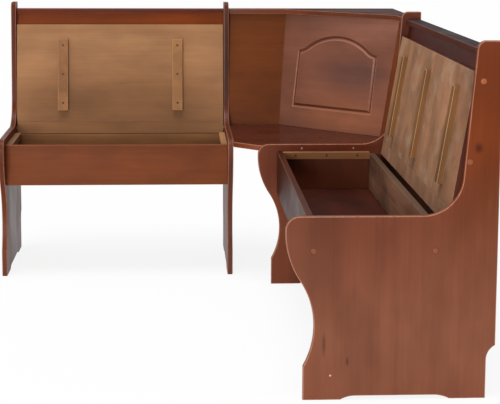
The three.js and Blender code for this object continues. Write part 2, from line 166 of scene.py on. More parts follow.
# Light and dark are the grain's two colours. Figure, blotch and stave say how far the tone swings with the
# grain, from place to place and from board to board. The eased edges take a paler colour, a painted highlight
# along the rounded arrises with some wear, and its share says how strongly it shows.
finishes = {
    "stained": {
        "slot": "stained_wood",
        "light": (0.205, 0.050, 0.0150),
        "dark": (0.133, 0.030, 0.0085),
        "figure": 0.30,
        "blotch": 0.15,
        "stave": 0.06,
        "wear": (0.54, 0.24, 0.15),
        "wearShare": 0.5,
        "roughness": 0.40,
        "specular": 0.12,
        "bump": 0.10,
    },
    "sheen": {
        "slot": "stained_wood",
        "light": (0.205, 0.050, 0.0150),
        "dark": (0.133, 0.030, 0.0085),
        "figure": 0.26,
        "blotch": 0.20,
        "stave": 0.04,
        "wear": (0.54, 0.24, 0.15),
        "wearShare": 0.5,
        "roughness": 0.34,
        "specular": 0.20,
        "bump": 0.08,
    },
    "orange": {
        "slot": "stained_wood",
        "light": (0.215, 0.052, 0.012),
        "dark": (0.130, 0.029, 0.007),
        "figure": 0.36,
        "blotch": 0.20,
        "stave": 0.03,
        "wear": (0.50, 0.20, 0.10),
        "wearShare": 0.3,
        "roughness": 0.40,
        "specular": 0.07,
        "bump": 0.08,
    },
    # Painted shade: the corner seat's top, darker than its edges.
    "seatTop": {
        "slot": "dark_stained_wood",
        "light": (0.110, 0.030, 0.018),
        "dark": (0.070, 0.019, 0.012),
        "figure": 0.36,
        "blotch": 0.16,
        "stave": 0.05,
        "wear": (0.42, 0.15, 0.09),
        "wearShare": 0.5,
        "roughness": 0.28,
        "specular": 0.14,
        "bump": 0.06,
    },
    "darkStained": {
        "slot": "dark_stained_wood",
        "light": (0.088, 0.023, 0.013),
        "dark": (0.050, 0.014, 0.009),
        "figure": 0.4,
        "blotch": 0.25,
        "stave": 0.04,
        "wear": (0.25, 0.09, 0.05),
        "wearShare": 0.4,
        "roughness": 0.42,
        "specular": 0.04,
        "bump": 0.06,
    },
    # Painted shade: the tops of the caps, darker than their fronts.
    "capTop": {
        "slot": "dark_stained_wood",
        "light": (0.070, 0.034, 0.030),
        "dark": (0.045, 0.022, 0.020),
        "figure": 0.3,
        "blotch": 0.15,
        "stave": 0.0,
        "wear": (0.16, 0.08, 0.06),
        "wearShare": 0.4,
        "roughness": 0.55,
        "specular": 0.02,
        "bump": 0.05,
    },
    "binFloor": {
        "slot": "dark_stained_wood",
        "light": (0.075, 0.026, 0.017),
        "dark": (0.045, 0.016, 0.011),
        "figure": 0.3,
        "blotch": 0.3,
        "stave": 0.0,
        "wear": (0.2, 0.1, 0.06),
        "wearShare": 0.2,
        "roughness": 0.6,
        "specular": 0.06,
        "bump": 0.05,
    },
    "plywood": {
        "slot": "raw_plywood",
        "light": (0.405, 0.205, 0.100),
        "dark": (0.290, 0.140, 0.066),
        "figure": 0.38,
        "blotch": 0.16,
        "stave": 0.0,
        "wear": (0.52, 0.34, 0.19),
        "wearShare": 0.2,
        "roughness": 0.72,
        "specular": 0.08,
        "bump": 0.12,
    },
    "roughBoards": {
        "slot": "raw_plywood",
        "light": (0.470, 0.270, 0.155),
        "dark": (0.290, 0.155, 0.085),
        "figure": 0.30,
        "figureSizes": (0.11, 0.15, 0.15),
        "blotch": 0.24,
        "stave": 0.06,
        "staveWidth": 0.076,
        "scuff": (0.44, 0.31, 0.21),
        "smudge": (0.15, 0.085, 0.050),
        "wear": (0.46, 0.30, 0.18),
        "wearShare": 0.3,
        "roughness": 0.78,
        "specular": 0.08,
        "bump": 0.35,
    },
    "oiledRail": {
        "slot": "raw_plywood",
        "light": (0.230, 0.115, 0.050),
        "dark": (0.140, 0.066, 0.028),
        "figure": 0.45,
        "blotch": 0.2,
        "stave": 0.0,
        "wear": (0.36, 0.22, 0.13),
        "wearShare": 0.1,
        "roughness": 0.6,
        "specular": 0.08,
        "bump": 0.15,
    },
    # Painted shade: the tops of the rear rails, darker than their faces.
    "railTop": {
        "slot": "raw_plywood",
        "light": (0.120, 0.072, 0.046),
        "dark": (0.080, 0.046, 0.030),
        "figure": 0.4,
        "blotch": 0.2,
        "stave": 0.0,
        "wear": (0.2, 0.12, 0.08),
        "wearShare": 0.3,
        "roughness": 0.6,
        "specular": 0.04,
        "bump": 0.1,
    },
    "backRail": {
        "slot": "dark_stained_wood",
        "light": (0.190, 0.082, 0.045),
        "dark": (0.125, 0.052, 0.029),
        "figure": 0.4,
        "blotch": 0.2,
        "stave": 0.0,
        "wear": (0.4, 0.25, 0.16),
        "wearShare": 0.4,
        "roughness": 0.6,
        "specular": 0.08,
        "bump": 0.1,
    },
    "smearedRail": {
        "slot": "raw_plywood",
        "light": (0.205, 0.110, 0.066),
        "dark": (0.085, 0.040, 0.024),
        "figure": 0.6,
        "blotch": 0.5,
        "stave": 0.0,
        "scuff": (0.26, 0.17, 0.12),
        "wear": (0.36, 0.22, 0.13),
        "wearShare": 0.6,
        "roughness": 0.7,
        "specular": 0.08,
        "bump": 0.3,
    },
    "batten": {
        "slot": "batten_wood",
        "light": (0.390, 0.205, 0.088),
        "dark": (0.265, 0.130, 0.052),
        "figure": 0.45,
        "blotch": 0.2,
        "stave": 0.0,
        "wear": (0.55, 0.35, 0.18),
        "wearShare": 0.7,
        "roughness": 0.6,
        "specular": 0.1,
        "bump": 0.15,
    },
    "plug": {
        "slot": "stained_wood",
        "light": (0.290, 0.092, 0.036),
        "dark": (0.190, 0.054, 0.020),
        "figure": 0.5,
        "blotch": 0.2,
        "stave": 0.0,
        "rim": True,
        "wear": (0.6, 0.3, 0.15),
        "wearShare": 0.3,
        "roughness": 0.4,
        "specular": 0.15,
        "bump": 0.15,
    },
}

# Tones of single boards against their finish: partly their own uneven stain, partly painted light, darker for
# painted shade, lighter for painted light, and bluer for a painted sheen on the near side panel and the
# diagonal back.
boardTonesAndLight = {
    "rightOuterSide": (0.95, 1.24, 2.05),
    "leftFrontRail": (0.89, 0.97, 1.25),
    "leftLidBoardFace": (0.96, 0.95, 0.92),
    "leftLidBatten1": (0.84, 0.73, 0.74),
    "leftLidBatten2": (1.03, 0.94, 0.89),
    "leftRearRailFace": (0.9, 0.72, 0.55),
    "leftRearRail": (1.55, 1.37, 1.27),
    "leftBackPanel": (1.17, 0.95, 0.45),
    "leftCapRail": (0.61, 0.37, 0.3),
    "leftInnerSide": (0.64, 0.77, 1.42),
    "leftOuterSide": (0.60, 0.60, 0.70),
    "cornerBackLeft": (0.75, 0.79, 0.69),
    "cornerBackDiagonal": (1.06, 1.56, 2.9),
    "cornerSeatFace": (0.68, 0.61, 0.55),
    "cornerCap": (0.73, 0.8, 1.09),
    "cornerCapFace": (0.61, 0.26, 0.19),
    "rightLidBoardFace": (0.91, 0.80, 0.76),
    "rightLidBatten1": (0.57, 0.49, 0.41),
    "rightLidBatten2": (0.57, 0.49, 0.41),
    "rightLidBatten3": (0.57, 0.49, 0.41),
    "rightBackPanel": (0.45, 0.27, 0.12),
    "rightRearRail": (1.75, 1.55, 1.5),
    "rightFrontRail": (0.25, 0.17, 0.17),
    "rightInnerSide": (0.78, 0.77, 0.99),
    "rightInnerCleat": (0.71, 0.56, 0.51),
    "rightBinFloor": (0.66, 0.41, 0.33),
    "rightCapRailFace": (0.42, 0.42, 0.5),
    "plugWood": (1.15, 1.05, 0.95),
    "lowerPlugWood": (0.8, 0.75, 0.85),
    "leftLidPivotStripFace": (0.9, 0.86, 0.8),
    "rightLidPivotStripFace": (0.85, 0.77, 0.76),
    "leftOuterCleat": (0.5, 0.48, 0.6),
    "leftInnerCleat": (1.0, 0.95, 1.0),
    "leftLidBoard": (0.6, 0.55, 0.6),
    "leftLidPivotStrip": (0.6, 0.55, 0.6),
    "rightLidBoard": (0.5, 0.45, 0.55),
    "rightLidPivotStrip": (0.5, 0.45, 0.55),
}

grains = {
    "figure": {"sizes": (0.55, 0.030, 0.030), "detail": 4, "rough": 0.6, "distortion": 0.2},
    "streak": {"sizes": (0.30, 0.006, 0.006), "detail": 4, "rough": 0.65},
    "pore": {"sizes": (0.020, 0.0008, 0.0008), "detail": 2, "rough": 0.5},
    "blotch": {"sizes": (0.30, 0.14, 0.14), "detail": 3, "rough": 0.55},
    "scuff": {"sizes": (0.060, 0.110, 0.110), "detail": 4, "rough": 0.55},
    "smudge": {"sizes": (0.080, 0.130, 0.130), "detail": 4, "rough": 0.55},
}
staveWidth = 0.105

# The values between which an effect sets in, and its share at most.
onsets = {
    "pore": (0.42, 0.30),
    "blotch": (0.30, 0.70),
    "scuff": (0.48, 0.74),
    "smudge": (0.54, 0.28),
    "spot": (1.0, 0.15),
    "rim": (0.78, 0.98),
    "filled": (0.0, -1.0),
    "worn": (0.25, 0.65),
}
shares = {"pore": 0.35, "scuff": 0.55, "smudge": 0.5, "filled": 0.75}

woodTones = {
    "figureShare": 0.6,  # the rest is streak
    "halfRange": 0.16,  # of the grain noise about its middle, at a figure of 1
    "rim": (0.35, 0.35, 0.35),  # shade round a plug, against the wood's dark colour
    "filled": (0.55, 0.30, 0.20),  # painted shade on a groove's down-facing walls, against the wood's dark colour
    "roughness": (0.85, 1.2),  # swing about the finish's own
    "bumpDepth": 0.0008,
}


# Spots of another tone, knots or painted shade and sheen, are (place, radius across the grain, radius along,
# share, tone).
def addSpots(tree, place, colour, spots):
    for centre, across, along, share, tone in spots:
        mapped = addNode(
            tree,
            "ShaderNodeMapping",
            {"Location": centre, "Rotation": place["turn"], "Scale": (along, across, across)},
            {"Vector": place["point"]},
            vector_type="TEXTURE",
        )
        far = addNode(tree, "ShaderNodeVectorMath", None, {0: mapped.outputs[0]}, operation="LENGTH")
        inside = spread(tree, far.outputs["Value"], *onsets["spot"], 0.0, share)
        colour = mixColour(tree, inside, colour, tone, "MULTIPLY")
    return colour


# Boards glued side by side differ in tone.
def staveTones(tree, place, look, offset):
    width = look.get("staveWidth", staveWidth)
    mapped = addNode(
        tree,
        "ShaderNodeMapping",
        {"Rotation": place["turn"], "Scale": (1, width, 1)},
        {"Vector": place["point"]},
        vector_type="TEXTURE",
    )
    across = addNode(tree, "ShaderNodeSeparateXYZ", None, {0: mapped.outputs[0]}).outputs[1]
    number = sums(tree, "FLOOR", sums(tree, "ADD", across, offset))
    tint = addNode(tree, "ShaderNodeTexWhiteNoise", None, {"W": number}, noise_dimensions="1D")
    return spread(tree, tint.outputs[0], 0, 1, 1 - look["stave"], 1 + look["stave"])


def toned(colour, tone):
    return tuple(c * t for c, t in zip(colour, tone))


def woodMaterial(name, finish, grain, seed, spots=()):
    look = dict(finishes[finish])
    for tone in ("light", "dark"):
        look[tone] = toned(look[tone], boardTonesAndLight.get(name, (1, 1, 1)))
    material, tree, shader = newMaterial(name)
    draw = random.Random(seed)
    place = {
        "point": addNode(tree, "ShaderNodeTexCoord").outputs["Object"],
        "turn": grainTurns[grain],
        "shift": [draw.uniform(-3, 3) for _ in range(3)],
    }
    figureSizes = look.get("figureSizes", grains["figure"]["sizes"])
    figure = grainNoise(tree, place, {**grains["figure"], "sizes": figureSizes})
    streak = grainNoise(tree, place, grains["streak"])
    pore = grainNoise(tree, place, grains["pore"])
    blotch = grainNoise(tree, place, grains["blotch"])

    figurePart = sums(tree, "MULTIPLY", figure, woodTones["figureShare"])
    streakPart = sums(tree, "MULTIPLY", streak, 1 - woodTones["figureShare"])
    reach = woodTones["halfRange"] / look["figure"]
    share = spread(tree, sums(tree, "ADD", figurePart, streakPart), 0.5 - reach, 0.5 + reach)
    colour = mixColour(tree, share, look["dark"], look["light"])
    poreShade = spread(tree, pore, *onsets["pore"], 0.0, shares["pore"] * look["figure"])
    colour = mixColour(tree, poreShade, colour, look["dark"])
    cloud = spread(tree, blotch, *onsets["blotch"], 1 - look["blotch"], 1 + look["blotch"])
    if look["stave"]:
        cloud = sums(tree, "MULTIPLY", cloud, staveTones(tree, place, look, draw.uniform(0, 50)))
    shaded = addNode(tree, "ShaderNodeVectorMath", None, {0: colour, "Scale": cloud}, operation="SCALE")
    colour = shaded.outputs[0]
    for mark in ("scuff", "smudge"):
        if mark in look:
            inside = spread(tree, grainNoise(tree, place, grains[mark]), *onsets[mark], 0.0, shares[mark])
            colour = mixColour(tree, inside, colour, look[mark])
    colour = addSpots(tree, place, colour, spots)
    if "rim" in look:
        rim = addNode(tree, "ShaderNodeAttribute", attribute_name="rim").outputs["Fac"]
        inside = spread(tree, rim, *onsets["rim"])
        colour = mixColour(tree, inside, colour, toned(look["dark"], woodTones["rim"]))
    # Painted light: a paler eased edge is a painted highlight with some wear, and the arch's walls carry
    # painted shade and highlight.
    edge = addNode(tree, "ShaderNodeAttribute", attribute_name="edgeWear").outputs["Fac"]
    filled = spread(tree, edge, *onsets["filled"], 0.0, shares["filled"])
    colour = mixColour(tree, filled, colour, toned(look["dark"], woodTones["filled"]))
    worn = spread(tree, streak, *onsets["worn"], 0.5 * look["wearShare"], look["wearShare"])
    colour = mixColour(tree, sums(tree, "MULTIPLY", edge, worn, clamp=True), colour, look["wear"])
    tree.links.new(colour, shader.inputs["Base Color"])

    low, high = (look["roughness"] * swing for swing in woodTones["roughness"])
    tree.links.new(spread(tree, blotch, *onsets["blotch"], low, high), shader.inputs["Roughness"])
    shader.inputs["Specular IOR Level"].default_value = look["specular"]
    height = sums(tree, "ADD", sums(tree, "MULTIPLY", streak, 0.5), sums(tree, "MULTIPLY", pore, 0.5))
    strength = {"Strength": look["bump"], "Distance": woodTones["bumpDepth"]}
    bump = addNode(tree, "ShaderNodeBump", strength, {"Height": height})
    tree.links.new(bump.outputs[0], shader.inputs["Normal"])
    return material


metals = {
    "screw": {"colour": (0.07, 0.055, 0.045), "roughness": 0.42},
    "flushScrew": {"colour": (0.24, 0.13, 0.085), "roughness": 0.45},
    "pin": {"colour": (0.55, 0.55, 0.53), "roughness": 0.28},
}
drawnSteel = {
    "noiseScale": 900.0,
    "detail": 2.0,
    "onset": (0.3, 0.7),
    "darkShare": 0.7,
    "roughness": (0.8, 1.4),  # swing about the metal's own
}


def metalMaterial(name, kind):
    look = metals[kind]
    material, tree, shader = newMaterial(name)
    point = addNode(tree, "ShaderNodeTexCoord").outputs["Object"]
    values = {"Scale": drawnSteel["noiseScale"], "Detail": drawnSteel["detail"]}
    noise = addNode(tree, "ShaderNodeTexNoise", values, {"Vector": point}).outputs[0]
    dark = toned(look["colour"], (drawnSteel["darkShare"],) * 3)
    tree.links.new(mixColour(tree, noise, dark, look["colour"]), shader.inputs["Base Color"])
    low, high = (look["roughness"] * swing for swing in drawnSteel["roughness"])
    tree.links.new(spread(tree, noise, *drawnSteel["onset"], low, high), shader.inputs["Roughness"])
    shader.inputs["Metallic"].default_value = 1.0
    return material


# Wooden pieces: each stands for its CAD node, with its arrises eased and its grain laid the right way.

easing = {
    "angle": math.radians(35),  # an edge sharper than this is eased
    "segments": 2,
    "room": 3,  # both faces are wider than this many widths
    "narrow": 0.0023,  # an eased edge's face is narrower
    "tilt": (0.2, 0.98),  # and turned from the board's face by this much
}
mending = {"merge": 0.00001, "flat": math.radians(0.5), "hullMerge": 0.0003, "hullFlat": math.radians(2)}
sharpAngles = {"board": math.radians(50), "head": math.radians(40)}
eases = {"board": 0.0008, "batten": 0.0012, "frontRail": 0.0015}


def smoothMesh(mesh, angle):
    mesh.polygons.foreach_set("use_smooth", [True] * len(mesh.polygons))
    mesh.set_sharp_from_angle(angle=angle)


def finishPiece(piece, material):
    smoothMesh(piece.data, sharpAngles["board"])
    piece.data.materials.append(material)
    modifier = piece.modifiers.new("Weighted normals", "WEIGHTED_NORMAL")
    modifier.keep_sharp = True


# The width of a face, taken as its area over its longest edge.
def faceWidth(face):
    return face.calc_area() / max(edge.calc_length() for edge in face.edges)


# The eased edges are narrow and tilted to the board's face. They take a paler colour: a painted highlight with
# some wear.
def markEdges(work):
    layer = work.faces.layers.float.new("edgeWear")
    boardFace = max(work.faces, key=lambda face: face.calc_area()).normal.copy()
    low, high = easing["tilt"]
    for face in work.faces:
        narrow = faceWidth(face) < easing["narrow"]
        face[layer] = 1.0 if narrow and low < abs(face.normal.dot(boardFace)) < high else 0.0


def newPiece(name, work):
    mesh = bpy.data.meshes.new(name)
    work.to_mesh(mesh)
    work.free()
    piece = bpy.data.objects.new(name, mesh)
    bpy.context.scene.collection.objects.link(piece)
    return piece


def cleanCopy(node):
    work = bmesh.new()
    work.from_mesh(frame["nodes"][node].data)
    bmesh.ops.remove_doubles(work, verts=work.verts, dist=mending["merge"])
    bmesh.ops.dissolve_limit(work, angle_limit=mending["flat"], verts=work.verts, edges=work.edges)
    return work


def easeEdges(work, width):
    sharp = [
        edge
        for edge in work.edges
        if len(edge.link_faces) == 2
        and edge.calc_face_angle(0) > easing["angle"]
        and min(faceWidth(face) for face in edge.link_faces) > easing["room"] * width
    ]
    bmesh.ops.bevel(
        work,
        geom=sharp,
        offset=width,
        segments=easing["segments"],
        profile=0.5,
        affect="EDGES",
        clamp_overlap=True,
    )


def pieceName(node):
    words = node.split("_")
    return words[0] + "".join(word.capitalize() for word in words[1:])


def pieceSeed(node):
    return sum(ord(letter) * (place + 1) for place, letter in enumerate(node))


countersink = {"mouth": 0.0056, "bottom": 0.0030, "depth": 0.0028, "proud": 0.0004, "sides": 24}


# A countersunk hole for each screw place.
def sinkHoles(piece, places):
    work = bmesh.new()
    length = countersink["depth"] + countersink["proud"]
    for point, direction in places:
        turn = direction.to_track_quat("Z", "Y").to_matrix().to_4x4()
        centre = point + direction * (countersink["proud"] - length / 2)
        bmesh.ops.create_cone(
            work,
            cap_ends=True,
            segments=countersink["sides"],
            radius1=countersink["bottom"],
            radius2=countersink["mouth"],
            depth=length,
            matrix=Matrix.Translation(centre) @ turn,
        )
    cutter = newPiece("countersinks", work)
    modifier = piece.modifiers.new("Countersinks", "BOOLEAN")
    modifier.operation = "DIFFERENCE"
    modifier.solver = "EXACT"
    modifier.object = cutter
    graph = bpy.context.evaluated_depsgraph_get()
    piece.data = bpy.data.meshes.new_from_object(piece.evaluated_get(graph))
    piece.modifiers.clear()
    bpy.data.objects.remove(cutter)


facingAlong = 0.9  # cosine of the angle within which a face looks along a direction


# The second finish is for the faces that look along a direction, such as the raw underside of a lid and the
# tops painted in shade.
def dress(node, body, finish, grain, ease, spots=(), second=None, screws=()):
    work = cleanCopy(node)
    if ease:
        easeEdges(work, ease)
    markEdges(work)
    if second:
        for face in work.faces:
            face.material_index = int(face.normal.dot(second[0]) > facingAlong)
    name = pieceName(node)
    piece = newPiece(name, work)
    if screws:
        sinkHoles(piece, screws)
    finishPiece(piece, woodMaterial(name, finish, grain, pieceSeed(node), spots))
    if second:
        piece.data.materials.append(woodMaterial(name + "Face", second[1], grain, pieceSeed(node), spots))
    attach(piece, body)
    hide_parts(node)


# A point given by its bench, its place along it, its depth from the wall and its height.
def benchPoint(bench, along, depth, height):
    place = benches[bench]
    return place["along"] * along + place["out"] * (depth + place["wall"]) + up * height


# Knots and a chip are the first four outer spots; all the others paint shade, and a bluish sheen at the outer
# foot.
sidePanels = {
    "plugPlaces": [(0.463, 0.384), (0.157, 0.383), (0.076, 0.607), (0.047, 0.808)],  # depth and height
    "innerSpots": [
        (0.080, 0.720, 0.30, 0.34, 1.0, (0.62, 0.66, 0.80)),
        (0.090, 0.720, 0.16, 0.26, 1.0, (0.66, 0.48, 0.30)),
        (0.290, 0.457, 0.26, 0.035, 1.0, (0.66, 0.42, 0.18)),
        (0.470, 0.400, 0.10, 0.11, 1.0, (0.80, 0.68, 0.52)),
    ],
    "outerSpots": [
        (0.055, 0.642, 0.015, 0.020, 0.9, (0.40, 0.30, 0.35)),
        (0.375, 0.100, 0.0050, 0.016, 0.8, (0.40, 0.34, 0.38)),
        (0.435, 0.145, 0.0065, 0.042, 0.7, (0.42, 0.40, 0.48)),
        (0.418, 0.064, 0.0036, 0.0036, 1.0, (3.5, 9.0, 12.0)),
        (0.035, 0.750, 0.30, 0.50, 1.0, (0.84, 0.50, 0.12)),
        (0.060, 0.820, 0.16, 0.17, 1.0, (0.80, 0.74, 0.70)),
        (0.340, 0.500, 0.33, 0.26, 1.0, (0.77, 0.64, 0.54)),
        (0.220, 0.130, 0.60, 0.20, 1.0, (1.10, 1.18, 1.25)),
    ],  # depth, height, radius across the grain and along it, share, tone
}
for bench in ("left", "right"):
    for end in ("outer", "inner"):
        node = bench + "_" + end + "_side"
        binMiddle = middle(bench + "_bin_floor", benches[bench]["along"])
        along = max(span(node, benches[bench]["along"]), key=lambda reach: abs(reach - binMiddle))
        spots = [
            (benchPoint(bench, along, depth, height), *look)
            for depth, height, *look in sidePanels[end + "Spots"]
        ]
        dress(node, "frame", "stained", "z", 0, spots)
print("side panels dressed")

# Screw places on battens and cleats, each a point on the face and the way that it looks.
battenScrews = [0.105, 0.508, 0.910]  # shares of the batten's length from its foot
cleatScrews = [0.145, 0.500, 0.855]  # shares of the cleat's length


def battenPlaces(bench, node):
    place = benches[bench]
    along = place["along"] * middle(node, place["along"])
    low, high = span(node, place["upLean"])
    face = place["faceOut"] * span(node, place["faceOut"])[1]
    rises = [low + (high - low) * share for share in battenScrews]
    return [(along + place["upLean"] * rise + face, place["faceOut"]) for rise in rises]


# The face of a piece that looks into the bin, and the way it looks.
def binFace(bench, node):
    along = benches[bench]["along"]
    low, high = span(node, along)
    if middle(bench + "_bin_floor", along) > low:
        return high, along
    return low, -along


def cleatPlaces(bench, node):
    place = benches[bench]
    face, into = binFace(bench, node)
    near, far = span(node, place["out"])
    base = place["along"] * face + up * middle(node, up)
    depths = [near + (far - near) * share for share in cleatScrews]
    return [(base + place["out"] * depth, into) for depth in depths]


# Painted shade: the upward faces of the rear rails, the caps and the corner seat take darker finishes than
# their fronts.
boards = [
    ("left_front_rail", "orange", "x", eases["frontRail"], None),
    ("right_front_rail", "orange", "y", eases["frontRail"], None),
    ("left_rear_rail", "oiledRail", "x", eases["board"], (up, "railTop")),
    ("right_rear_rail", "smearedRail", "y", eases["board"], (up, "railTop")),
    ("left_back_rail", "backRail", "x", eases["board"], None),
    ("right_back_rail", "backRail", "y", eases["board"], None),
    ("left_bin_floor", "binFloor", "x", 0, None),
    ("right_bin_floor", "binFloor", "y", 0, None),
    ("left_cap_rail", "orange", "x", 0, (up, "capTop")),
    ("right_cap_rail", "darkStained", "y", 0, (up, "capTop")),
    ("corner_seat", "stained", "x", 0, (up, "seatTop")),
    ("corner_cap", "stained", "x", 0, (up, "capTop")),
    ("corner_back_left", "orange", "x", eases["board"], None),
    ("corner_back_right", "orange", "y", eases["board"], None),
]  # node, finish, grain, eased width, and the way that a second finish looks with its name
for node, finish, grain, ease, second in boards:
    dress(node, "frame", finish, grain, ease, second=second)
for bench, grain in (("left", "y"), ("right", "x")):
    for end in ("outer", "inner"):
        node = bench + "_" + end + "_cleat"
        dress(node, "frame", "batten", grain, eases["board"], screws=cleatPlaces(bench, node))
print("rails, floors, cleats, caps and the corner seat dressed")

lidBoards = {
    "left": {
        "raw": "plywood",
        "boardGrain": "x",
        "stripGrain": "x",
        "battenGrain": "upLeftLid",
        "battens": 2,
    },
    "right": {
        "raw": "roughBoards",
        "boardGrain": "upRightLid",
        "stripGrain": "y",
        "battenGrain": "upRightLid",
        "battens": 3,
    },
}
# Painted shade: the lower part of the short lid is darker, and so is the near end of the long one.
lidShade = {
    "left": [(benchPoint("left", -0.305, 0.115, 0.53), 0.21, 0.75, 1.0, (0.64, 0.60, 0.58))],
    "right": [(benchPoint("right", 0.93, 0.06, 0.60), 0.40, 0.80, 1.0, (0.72, 0.70, 0.70))],
}
for bench, look in lidBoards.items():
    body = bench + "_lid"
    under = (benches[bench]["faceOut"], look["raw"])
    for name, grain in (("_board", look["boardGrain"]), ("_pivot_strip", look["stripGrain"])):
        dress(body + name, body, "stained", grain, eases["board"], lidShade[bench], under)
    for number in range(look["battens"]):
        node = body + "_batten_" + str(number + 1)
        dress(node, body, "batten", look["battenGrain"], eases["batten"], screws=battenPlaces(bench, node))
    for end in ("outer", "inner"):
        pin = frame["nodes"][body + "_pin_" + end]
        pin.data.materials.clear()
        pin.data.materials.append(metalMaterial(pieceName(pin.name) + "Steel", "pin"))
print("lids dressed")

# Carved backs: the arch is routed into the leaning face. Each row of its profile has the inset from the arch's
# outer edge, the depth, and the tones at the top, the sides and the foot, from painted shade (-1) to painted
# highlight (1).

arch = {
    "margin": 0.049,  # from the panel's edge, at the seat, to the arch
    "foot": 0.070,  # heights up the face, from the seat
    "shoulder": 0.279,
    "apex": 0.3365,
    "footBand": 0.004,  # the face's lowest corners lie within this height
    "crownShare": 0.764,  # of the crown's and the flank's radii together
    "arcSteps": 14,
    "profile": [
        (0.0000, 0.0000, (-1.0, 0.9, 0.3)),
        (0.0008, 0.0026, (-1.0, 1.0, 0.4)),
        (0.0026, 0.0030, (-1.0, 1.0, 0.5)),
        (0.0044, 0.0034, (-0.9, -0.9, 0.4)),
        (0.0060, 0.0042, (-0.5, -1.0, -0.2)),
        (0.0080, 0.0046, (0.2, -1.0, -1.0)),
        (0.0096, 0.0038, (0.2, 0.3, -1.0)),
        (0.0112, 0.0030, (0.3, 0.8, -1.0)),
        (0.0128, 0.0018, (0.9, 0.9, -1.0)),
        (0.0150, 0.0012, (0.5, 0.5, -0.4)),
        (0.0160, 0.0000, (0.0, 0.0, 0.0)),
    ],
}


# Points of the arch at an inset, each inset with as many points.
def archRing(halfWidth, inset):
    turn = 2 * math.atan((arch["apex"] - arch["shoulder"]) / halfWidth)
    bothRadii = halfWidth / math.sin(turn)
    crown = bothRadii * arch["crownShare"]
    flank = bothRadii - crown
    crownCentre = arch["apex"] - crown
    flankCentre = arch["shoulder"] + flank
    meet = math.asin(inset / (flank + inset))
    steps = arch["arcSteps"]
    points = [(inset - halfWidth, arch["foot"] + inset), (halfWidth - inset, arch["foot"] + inset)]
    for i in range(steps + 1):
        angle = -math.pi / 2 - meet + (meet - turn) * i / steps
        reach = flank + inset
        points.append((halfWidth + reach * math.cos(angle), flankCentre + reach * math.sin(angle)))
    for i in range(1, 2 * steps):
        angle = math.pi / 2 - turn + turn * i / steps
        reach = crown - inset
        points.append((reach * math.cos(angle), crownCentre + reach * math.sin(angle)))
    mirror = [(-x, y) for x, y in reversed(points[2 : steps + 3])]
    return points + mirror


# The node's outer form without the plain groove of the CAD, as the arch is cut anew.
def plainPanel(node):
    work = bmesh.new()
    work.faces.layers.float.new("edgeWear")
    for vertex in frame["nodes"][node].data.vertices:
        work.verts.new(vertex.co)
    hull = bmesh.ops.convex_hull(work, input=work.verts)
    left = hull["geom_interior"] + hull["geom_unused"]
    spare = {item for item in left if isinstance(item, bmesh.types.BMVert)}
    bmesh.ops.delete(work, geom=list(spare), context="VERTS")
    bmesh.ops.remove_doubles(work, verts=work.verts, dist=mending["hullMerge"])
    bmesh.ops.dissolve_limit(work, angle_limit=mending["hullFlat"], verts=work.verts, edges=work.edges)
    easeEdges(work, eases["board"])
    work.normal_update()
    return work


# One arch, with its points made by place(x, y, depth). Its outer edges come back.
def cutArch(work, halfWidth, place, outward, upFace):
    layer = work.faces.layers.float["edgeWear"]
    rings = [
        [work.verts.new(place(x, y, depth)) for x, y in archRing(halfWidth, inset)]
        for inset, depth, _ in arch["profile"]
    ]
    count = len(rings[0])
    for outer, inner, (_, _, (top, side, bottom)) in zip(rings, rings[1:], arch["profile"]):
        for i in range(count):
            j = (i + 1) % count
            # A wall's tone follows the way it faces: painted shade where it faces down, painted highlight
            # where it faces up.
            away = outer[i].co + outer[j].co - inner[i].co - inner[j].co
            away -= outward * away.dot(outward)
            rise = away.normalized().dot(upFace)
            tone = side + (top - side) * max(0.0, rise) + (bottom - side) * max(0.0, -rise)
            work.faces.new((outer[i], outer[j], inner[j], inner[i]))[layer] = tone
    work.faces.new(rings[-1])
    return [work.edges.get((rings[0][i], rings[0][(i + 1) % count])) for i in range(count)]


def carvedBack(node, across, outward, grain, finish, archCount, spots=()):
    upFace = outward.cross(across)
    work = plainPanel(node)
    front = max(work.faces, key=lambda face: face.calc_area() * max(0.0, face.normal.dot(outward)) ** 8)
    plane = front.calc_center_median().dot(outward)
    corners = [(vertex.co.dot(across), vertex.co.dot(upFace)) for vertex in front.verts]
    low = min(y for _, y in corners)
    foot = [x for x, y in corners if y < low + arch["footBand"]]
    centre = (min(foot) + max(foot)) / 2
    width = max(foot) - min(foot)
    level = seatHeightUp(plane, outward, upFace)
    halfWidth = (width - (archCount + 1) * arch["margin"]) / (2 * archCount)
    edges = list(front.edges)
    bmesh.ops.delete(work, geom=[front], context="FACES_ONLY")
    for number in range(archCount):
        shift = centre + (number - (archCount - 1) / 2) * (2 * halfWidth + arch["margin"])

        def place(x, y, depth):
            return across * (x + shift) + upFace * (y + level) + outward * (plane - depth)

        edges += cutArch(work, halfWidth, place, outward, upFace)
    bmesh.ops.triangle_fill(work, edges=edges, use_beauty=True, normal=outward)
    bmesh.ops.recalc_face_normals(work, faces=work.faces)
    piece = newPiece(pieceName(node), work)
    finishPiece(piece, woodMaterial(pieceName(node), finish, grain, pieceSeed(node), spots))
    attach(piece, "frame")
    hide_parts(node)


# Where the seat's height meets a leaning face, measured up the face.
def seatHeightUp(plane, outward, upFace):
    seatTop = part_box("corner_seat")[1].z
    return (seatTop - plane * outward.z) / upFace.z


diagonalAcross = Vector((1, -1, 0)).normalized()
diagonalOut = Vector((-1, -1, 0)).normalized() * math.cos(lean) + up * math.sin(lean)
